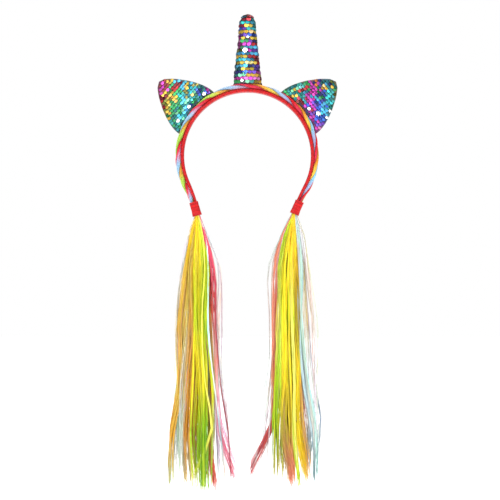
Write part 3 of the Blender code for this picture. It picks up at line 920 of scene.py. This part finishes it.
def ear_cloth(side, patches, point, rng):
    height = min(max(point.z - SEAT_RADIUS, -0.008), 0.97 * EAR_HEIGHT)
    across = -side * point.x / ear_outline(height)[0]
    return patch_tint(patches, across, height / EAR_HEIGHT, rng)


EAR = Form(
    ear_outline, power=EAR_EDGE, height=EAR_HEIGHT, width=EAR_WIDTH, row=EAR_ROW, sides=40,
    spacing=EAR_SPACING, sequin=EAR_SEQUIN, rim=EAR_RIM,
)
for name, side, patches in (("ear_left", -1, LEFT_EAR_DYES), ("ear_right", 1, RIGHT_EAR_DYES)):
    rng = random.Random(11 + side)
    ear_pouch, ear_sequins = sewn_pouch(
        name, EAR, side * EAR_ANGLE, lambda point: ear_cloth(side, patches, point, rng),
        lambda row, up, angle: patch_tint(patches, -side * math.cos(angle), up, rng),
        EARS_TURNED[side], rng,
    )
    for piece in (ear_pouch, ear_sequins):
        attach(piece, "root")
        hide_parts(name)

# A tie is a short length of red satin ribbon, wound tight round each tip of the hoop, the ends of the
# twist and the head of a tail, and glued. Its edges stand a little proud, and the tail flares it below.
TIE_LENGTH = 0.0140
TIE_WALL = 0.0007
TIE_FLARE = 0.0004
TIE_SLACK = 0.0006
TIE_SQUARENESS = 4
TIE_SIDES = 48
TIE_STEPS = 22
TIE_TURN = 0.00010
TIE_CREASE = 0.00005
TIE_ROPES = 0.0040
TIE_SIDE = 0.0006


def tie_bore():
    """Half the bore of a tie, outwards and front to back."""
    outwards = (HOOP_TIP_THICKNESS + TWIST_GAP + TIE_ROPES) / 2 + TWIST_GAP
    return outwards, HOOP_TIP_WIDTH / 2 + TWIST_GAP + TIE_SLACK


def tie_place(side):
    """Upper end of a tie's bore: the point, the way outwards and the way down."""
    leg = LEGS[side]
    run = HOOP_RADIUS * leg.round_to + leg.length - TIE_GRIP / 2
    point, outwards, onwards = hoop_place(side, run)
    return point + outwards * (tie_bore()[0] - TWIST_GAP) - onwards * TIE_GRIP / 2, outwards, onwards


def tie_ring(side, down, grow):
    """Points round a tie at a length below its upper end. The growth may depend on the angle."""
    start, outwards, onwards = tie_place(side)
    half_out, half_deep = tie_bore()
    ring = []
    for step in range(TIE_SIDES):
        angle = 2 * math.pi * step / TIE_SIDES
        more = grow(angle)
        out, deep = squared_round(half_out + more, half_deep + more, angle, TIE_SQUARENESS)
        ring.append(start + onwards * down + outwards * out + Vector((0, deep, 0)))
    return ring


def wound(share):
    """Outer face of the winding: two overlapping turns that climb round it, proud hems, a flared foot."""
    def grow(angle):
        climb = (share * 1.6 + angle / (2 * math.pi)) % 1.0
        turn = TIE_TURN * ease((climb - 0.04) / 0.06) * (1 - climb)
        crease = TIE_CREASE * math.sin(7 * angle + 9 * share) * math.sin(math.pi * share)
        hem = TIE_FLARE * 0.4 * (1 - ease(share / 0.08))
        foot = TIE_FLARE * ease((share - 0.62) / 0.38)
        return TIE_WALL + turn + crease + hem + foot
    return grow


def ribbon_tie(name, side):
    """Rings drawn down the outer face and back up the bore, then closed round the upper rim."""
    rings = [(step / TIE_STEPS, wound(step / TIE_STEPS)) for step in range(TIE_STEPS + 1)]
    rings += [(share, lambda angle: 0.0) for share in (1.0, 0.5, 0.0)]
    runs = [share * TIE_LENGTH for share, _ in rings]
    sections = [tie_ring(side, run, grow) for run, (_, grow) in zip(runs, rings)]
    return drawn_through(name, sections, runs, looped=True, apart=TIE_SIDE)


# Tie reds: a painted-shade red for the puckers and a painted-highlight red for their ridges.
RIBBON_FINISH = satin_finish("tie_ribbon", dye(146, 4, 10), dye(204, 14, 16), puckers=0.6, roughness=0.42)
for name, side in (("tie_left", -1), ("tie_right", 1)):
    tie = ribbon_tie(name + "_ribbon", side)
    tie.data.materials.append(RIBBON_FINISH)
    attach(tie, "root")
    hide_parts(name)

# A tail is a long bundle of loose, straight synthetic hair in many colours, glued into its tie. It falls
# in locks of one colour each that part towards their ends. A few fine pale hairs stray past its sides.
TAIL_LENGTH = 0.2740
TAIL_SPREAD = 0.0400
TAIL_DEPTH = 0.0200
TAIL_INSIDE = 0.0030
LOCK_WIDTH = 0.0090
LOCK_KNOTS = (0.0, 0.08, 0.165, 0.42, 0.675, 0.82, 1.0)
MIXED_SHARE = 0.36
HAIR = 0.00019
HAIR_STATIONS = 15
WISP_HAIRS = 13
HAIR_WANDER = 0.0016
HAIR_FRIZZ = 0.0003
HAIR_DRIFT = 0.0024
BORE_OUT = 0.0030
BORE_DEEP = 0.0036
TAIL_TUCK = 0.0005
STRAY_FINENESS = 0.5
COLOUR_PLACES = (0.12, 0.40, 0.62, 0.82, 1.0)

HAIR_DYES = dyes(
    gold=(242, 202, 38), amber=(228, 166, 40), ochre=(212, 170, 62), peach=(240, 190, 130),
    straw=(222, 196, 104), beige=(222, 206, 178), yellow=(250, 226, 40), lemon=(244, 246, 112),
    lime=(196, 220, 34), green=(136, 200, 28), leaf=(116, 186, 40), olive=(176, 168, 40),
    sage=(186, 204, 168), copper=(222, 142, 78), coral=(244, 112, 92), salmon=(238, 142, 118),
    red=(232, 48, 52), rose=(238, 90, 122), pink=(234, 128, 158), blush=(240, 206, 204),
    mauve=(212, 186, 200), maroon=(158, 62, 70), sky=(206, 244, 238), teal=(100, 156, 164),
    slate=(158, 176, 190), mist=(236, 238, 238),
)

# Locks of each tail: top, high, middle, low, bend and end are how far across it hangs, in shares of the
# spread, and drop, deep and wide are shares of the length, the depth and a lock's width. The colours run
# down it, and about a third of its hairs have the mixed colours instead.
Lock = namedtuple("Lock", "top high middle low bend end drop deep wide hairs colours mixed")
LEFT_LOCKS = (
    Lock(0.02, 0.04, -0.01, 0.01, 0.02, 0.04, 0.94, 0.2, 2.0, 230,
         "yellow ochre olive ochre straw", "olive gold copper olive amber"),
    Lock(-0.15, -0.24, -0.46, -0.46, -0.63, -0.67, 0.988, -0.1, 0.45, 130,
         "gold ochre straw amber sage", "gold peach amber amber gold"),
    Lock(-0.1, -0.16, -0.31, -0.4, -0.46, -0.44, 0.944, 0.05, 0.9, 150,
         "gold straw straw sage mist", "amber ochre straw sage sage"),
    Lock(-0.07, -0.12, -0.19, -0.26, -0.3, -0.24, 0.985, 0.35, 0.9, 170,
         "straw straw straw copper straw", "gold olive copper copper mist"),
    Lock(-0.03, -0.06, -0.09, -0.14, -0.16, -0.06, 0.992, -0.25, 0.9, 190,
         "gold ochre ochre amber straw", "olive straw copper amber sage"),
    Lock(0.01, 0.01, 0.01, 0.06, 0.06, 0.11, 1.0, -0.45, 1.05, 250,
         "yellow lime yellow green lime", "gold yellow yellow lime green"),
    Lock(0.09, 0.15, 0.11, 0.21, 0.19, 0.18, 1.0, -0.35, 1.1, 220,
         "lime lime yellow green leaf", "yellow leaf lime straw green"),
    Lock(0.12, 0.18, 0.13, 0.22, 0.37, -0.06, 0.96, -0.6, 0.05, 18,
         "lemon lemon lemon lemon lime", "lime lemon lemon lemon lime"),
    Lock(0.12, 0.22, 0.29, 0.33, 0.34, 0.3, 0.985, 0.1, 0.75, 140,
         "lime copper straw olive copper", "olive salmon sage straw straw"),
    Lock(0.04, 0.11, 0.31, 0.35, 0.37, 0.41, 0.36, 0.12, 0.58, 110,
         "rose rose rose coral coral", "rose red rose salmon coral"),
    Lock(0.14, 0.31, 0.33, 0.34, 0.33, 0.44, 1.01, 0.15, 0.42, 110,
         "rose maroon copper coral coral", "red coral olive mauve coral"),
    Lock(0.14, 0.33, 0.45, 0.5, 0.55, 0.93, 0.97, -0.3, 0.34, 80,
         "rose coral salmon mauve pink", "rose maroon blush pink rose"),
    Lock(0.16, 0.28, 0.36, 0.46, 0.54, 0.6, 0.96, 0.15, 0.42, 70,
         "mist mist mist mauve mist", "blush salmon slate mauve slate"),
    Lock(0.19, 0.38, 0.47, 0.61, 0.77, 0.84, 0.96, -0.45, 0.03, 24,
         "rose maroon maroon maroon maroon", "red maroon maroon maroon maroon"),
    Lock(0.2, 0.26, 0.27, 0.46, 0.58, 0.71, 0.985, -0.34, 0.16, 32,
         "sky sky mist slate blush", "mist sky mist mauve mist"),
)
RIGHT_LOCKS = (
    Lock(-0.07, -0.11, -0.14, -0.11, -0.1, -0.09, 0.94, 0.2, 2.0, 220,
         "yellow gold olive yellow straw", "olive ochre lime olive straw"),
    Lock(-0.27, -0.48, -0.56, -0.6, -0.68, -0.78, 0.875, 0.15, 0.3, 24,
         "blush blush blush mist mist", "mist salmon blush salmon mist"),
    Lock(-0.25, -0.44, -0.53, -0.52, -0.55, -1.09, 0.955, 0.1, 0.17, 110,
         "blush salmon salmon maroon maroon", "salmon blush salmon coral red"),
    Lock(-0.23, -0.39, -0.49, -0.5, -0.5, -0.5, 0.84, -0.12, 0.5, 90,
         "salmon salmon salmon copper copper", "blush coral copper salmon straw"),
    Lock(-0.2, -0.33, -0.36, -0.43, -0.49, -0.48, 0.96, -0.15, 0.4, 100,
         "lime lemon olive green olive", "olive lime copper lime straw"),
    Lock(-0.18, -0.29, -0.34, -0.4, -0.43, -0.42, 0.963, -0.2, 0.9, 180,
         "lime lemon lime lime olive", "leaf straw lemon green straw"),
    Lock(-0.12, -0.2, -0.24, -0.25, -0.28, -0.06, 0.995, -0.4, 0.72, 170,
         "yellow yellow yellow olive salmon", "olive lime yellow straw salmon"),
    Lock(-0.07, -0.12, -0.14, -0.16, -0.14, -0.09, 0.98, 0.35, 0.95, 180,
         "yellow gold yellow olive straw", "olive olive lime straw salmon"),
    Lock(-0.03, -0.06, -0.06, 0.0, 0.0, 0.12, 1.0, -0.5, 0.26, 70,
         "gold lemon lemon lemon lime", "yellow lemon lemon lime lime"),
    Lock(-0.03, -0.06, -0.09, -0.09, -0.08, -0.06, 0.985, -0.4, 0.66, 150,
         "yellow yellow olive yellow copper", "gold lime yellow olive salmon"),
    Lock(0.01, 0.0, 0.02, 0.11, 0.1, 0.34, 0.98, -0.25, 0.9, 200,
         "yellow olive yellow yellow gold", "gold olive ochre straw amber"),
    Lock(0.03, 0.03, 0.07, 0.17, 0.2, 0.29, 0.945, 0.35, 0.7, 120,
         "lime olive straw salmon salmon", "yellow gold copper straw copper"),
    Lock(0.06, 0.1, 0.12, 0.25, 0.4, 0.31, 0.95, 0.05, 0.4, 90,
         "mist sky sky mist teal", "mist mist mist sky teal"),
    Lock(0.07, 0.12, 0.15, 0.31, 0.48, 0.5, 0.978, -0.25, 0.6, 110,
         "sky sky sky sky teal", "mist sky sky mist teal"),
    Lock(0.12, 0.22, 0.34, 0.48, 0.66, 0.57, 0.945, 0.2, 0.26, 40,
         "mist mist mist mist slate", "mist blush mist slate slate"),
)
STRAYS = (
    Lock(-0.19, -0.3, -0.5, -0.54, -0.56, -0.52, 0.9, 0.0, 0.8, 70,
         "mist beige mist mist mist", "straw mist beige mist mist"),
    Lock(0.22, 0.46, 0.56, 0.6, 0.7, 0.8, 0.93, 0.1, 0.8, 70,
         "mist blush mist mauve mist", "blush mist mist mist mauve"),
    Lock(-0.03, -0.05, -0.1, -0.2, -0.25, -0.3, 0.96, -0.1, 2.2, 70,
         "straw straw mist mist sage", "olive copper straw sage mist"),
)


def through(values, shares):
    """Smooth lines through the values at the lock knots, read at shares of the run."""
    knots = np.array(LOCK_KNOTS)
    values = np.array(values, dtype=float)
    slopes = np.gradient(values, knots)
    index = np.clip(np.searchsorted(knots, shares, side="right") - 1, 0, len(knots) - 2)
    run = knots[index + 1] - knots[index]
    part = (shares - knots[index]) / run
    leaving = slopes[index] * run * part * (1 - part) ** 2
    arriving = slopes[index + 1] * run * part**2 * (part - 1)
    eased = part * part * (3 - 2 * part)
    return between(values[index], values[index + 1], eased) + leaving + arriving


def lock_fibres(lock, mouth, down, rng, thin):
    """Paths, thicknesses and colours of one lock's hairs, gathered in a few wisps that part at the end."""
    share = (np.arange(HAIR_STATIONS) / (HAIR_STATIONS - 1)) ** 1.25
    wisps = max(2, round(lock.hairs / WISP_HAIRS))
    wisp = rng.integers(0, wisps, lock.hairs)
    def in_disc(count):
        far = np.sqrt(rng.uniform(0, 1, count))
        around = rng.uniform(0, 2 * np.pi, count)
        return np.stack((far * np.cos(around), far * np.sin(around)), axis=1)
    centre = in_disc(wisps)[wisp] * 0.95
    own = in_disc(lock.hairs) * 0.17
    gather = 1 - 0.5 * smooth((share - 0.55) / 0.45)
    spread = centre[:, None, :] + own[:, None, :] * gather[None, :, None]
    half_width = LOCK_WIDTH / 2 * lock.wide
    full = smooth(share / 0.22)
    across = through((0, *lock[:6]), share) * TAIL_SPREAD
    swing = rng.normal(0, 1, (wisps, 2))[wisp]
    loose = 0.12 + 0.88 * min(1.0, lock.wide)
    waves = rng.uniform(0.8, 2.0, (wisps, 1))[wisp]
    begun = rng.uniform(0, 1, (wisps, 1))[wisp]
    wander = HAIR_WANDER * loose * np.sin(2 * np.pi * (share[None] * waves + begun)) * full
    frizz = HAIR_FRIZZ * np.sin(
        2 * np.pi * (share[None] * rng.uniform(2, 4, (lock.hairs, 1)) + rng.uniform(0, 1, (lock.hairs, 1)))
    ) * full
    reach = lock.drop * TAIL_LENGTH * np.minimum(rng.normal(0.99, 0.014, (wisps, 1)), 1.005)[wisp] * (
        1 - 0.11 * loose * rng.uniform(0, 1, (lock.hairs, 1)) ** 1.7
    )
    root = in_disc(lock.hairs) * 0.7
    root[:, 0] = np.clip(root[:, 0] * 0.55 + lock.high * 1.3, -1, 1)
    root[:, 1] = np.clip(root[:, 1] * 0.55 + lock.deep, -1, 1)
    paths = np.empty((lock.hairs, HAIR_STATIONS, 3))
    leave = 1 - smooth(share / 0.22)
    drift = smooth((share - 0.4) / 0.6) * HAIR_DRIFT * loose
    paths[:, :, 0] = mouth.x + across + spread[:, :, 0] * half_width * full + wander + frizz
    paths[:, :, 0] += root[:, :1] * BORE_OUT * leave + swing[:, :1] * drift
    paths[:, :, 1] = mouth.y + lock.deep * TAIL_DEPTH * smooth(share / 0.33) + frizz * 0.7
    paths[:, :, 1] += spread[:, :, 1] * half_width * 0.62 * full + root[:, 1:] * BORE_DEEP * leave
    paths[:, :, 1] += swing[:, 1:] * drift
    paths[:, :, 2] = mouth.z - share[None] * reach
    inside = paths[:, :1, :] - np.array(down) * TAIL_INSIDE
    paths = np.concatenate((inside, paths), axis=1)
    taper = np.concatenate(([1.0], 1 - 0.55 * smooth((share - 0.7) / 0.3)))
    thickness = HAIR * thin * rng.uniform(0.75, 1.35, (lock.hairs, 1)) * taper[None]
    places = np.concatenate(([0.0], share))
    runs = []
    for colours in (lock.colours, lock.mixed):
        stops = np.array([HAIR_DYES[name] for name in colours.split()])
        parts = [np.interp(places, COLOUR_PLACES, stops[:, part]) for part in range(3)]
        runs.append(np.stack(parts, axis=1))
    other = (rng.uniform(0, 1, wisps)[wisp] * 0.7 + rng.uniform(0, 1, lock.hairs) * 0.3) < MIXED_SHARE
    base = np.where(other[:, None, None], runs[1][None], runs[0][None])
    shift = rng.normal(0, 0.06, (wisps, 3))[wisp] + rng.normal(0, 0.04, (lock.hairs, 3))
    light = rng.uniform(0.72, 1.15, (wisps, 1))[wisp] * rng.uniform(0.85, 1.15, (lock.hairs, 1))
    tints = np.clip(base * (light * (1 + shift))[:, None, :], 0, 1)
    return paths, thickness, tints


def tail_of(name, side, locks, thin, seed):
    """All the hairs of one tail's locks in one mesh."""
    rng = np.random.default_rng(seed)
    start, _, onwards = tie_place(side)
    mouth = start + onwards * (TIE_LENGTH - TAIL_TUCK)
    parts = [lock_fibres(lock, mouth, onwards, rng, thin) for lock in locks]
    paths, thickness, tints = (np.concatenate(kind) for kind in zip(*parts))
    turn = rng.uniform(0, 2 * np.pi, len(paths))
    facing = np.stack((np.cos(turn), np.sin(turn), np.zeros_like(turn)), axis=1)
    return laid_fibres(name, paths, thickness, tints, facing)


def mirrored(locks):
    """The locks hung to the other side."""
    return [lock._replace(**{part: -getattr(lock, part) for part in Lock._fields[:6]}) for lock in locks]


TAIL_FINISH = hair_finish("tail_hair", roughness=0.36)
for name, side, locks, strays in (
    ("tail_left", -1, LEFT_LOCKS, STRAYS), ("tail_right", 1, RIGHT_LOCKS, mirrored(STRAYS)),
):
    tail = tail_of(name + "_hair", side, locks, thin=1.0, seed=40 + side)
    fine = tail_of(name + "_strays", side, strays, thin=STRAY_FINENESS, seed=60 + side)
    for piece in (tail, fine):
        piece.data.materials.append(TAIL_FINISH)
        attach(piece, "root")
        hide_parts(name)

# The room: a plain white floor under the tails' ends, soft light from a large window of cloth on the
# left, a smaller one on the right and one overhead, and a white surround. The camera looks straight at
# the front, level with the middle of the headband.
FLOOR = -0.4100
SHOT_WIDTH = 0.5000
SHOT_DISTANCE = 1.6000
SHOT_MIDDLE = Vector((0.0025, 0, -0.1577))


def floor_finish():
    made, tree = new_finish("floor_white")
    grain = noise(tree, add_node(tree, "TexCoord", out="Object"), detail=4.0, scale=30.0)
    return finished(
        made, Base_Color=ramp_of(tree, grain, ((0.0, (0.95, 0.95, 0.95)), (1.0, (0.97, 0.97, 0.97)))),
        Roughness=0.9, Specular_IOR_Level=0.1, Emission_Color=(1, 1, 1, 1), Emission_Strength=0.72,
    )


def softbox(name, place, size, power):
    """A square area light that faces the middle of the headband."""
    lamp = bpy.data.lights.new(name, "AREA")
    lamp.size = size
    lamp.energy = power
    light = bpy.data.objects.new(name, lamp)
    light.location = place
    aim = SHOT_MIDDLE - Vector(place)
    light.rotation_euler = aim.to_track_quat("-Z", "Y").to_euler()
    bpy.context.scene.collection.objects.link(light)


shape = bmesh.new()
bmesh.ops.create_grid(shape, x_segments=1, y_segments=1, size=3, matrix=Matrix.Translation((0, 0, FLOOR)))
floor = settled("floor", shape)
floor.data.materials.append(floor_finish())

softbox("left_window", (-0.9, -1.3, 0.7), 1.6, 17)
softbox("right_window", (1.1, -1.2, 0.2), 1.5, 12)
softbox("overhead", (0.0, 0.1, 1.3), 1.4, 12)
softbox("glint", (-0.25, -1.7, 0.55), 0.22, 3)

world = bpy.data.worlds.new("surround")
bpy.context.scene.world = world
world.use_nodes = True
tree = world.node_tree
tree.nodes.clear()
camera_ray = add_node(tree, "LightPath", out="Is Camera Ray")
around = add_node(tree, "TexCoord", out="Generated")
height = add_node(tree, "SeparateXYZ", {0: around}, out="Z")
glow = ramp_of(
    tree, height, ((0.0, (0.35, 0.35, 0.37)), (0.45, (0.75, 0.75, 0.77)), (1.0, (1.0, 1.0, 1.0)))
)
lit = add_node(tree, "Background", {"Color": glow, "Strength": 0.6})
seen = add_node(tree, "Background", {"Color": (1, 1, 1, 1), "Strength": 1.0})
mixed = add_node(tree, "MixShader", {0: camera_ray, 1: lit, 2: seen})
add_node(tree, "OutputWorld", {"Surface": mixed})

camera = bpy.data.cameras.new("camera")
camera.sensor_width = 36
camera.lens = 36 * SHOT_DISTANCE / SHOT_WIDTH
shot = bpy.data.objects.new("camera", camera)
shot.location = SHOT_MIDDLE + Vector((0, -SHOT_DISTANCE, 0))
shot.rotation_euler = (math.radians(90), 0, 0)
bpy.context.scene.collection.objects.link(shot)
bpy.context.scene.camera = shot
bpy.context.scene.view_settings.view_transform = "Standard"
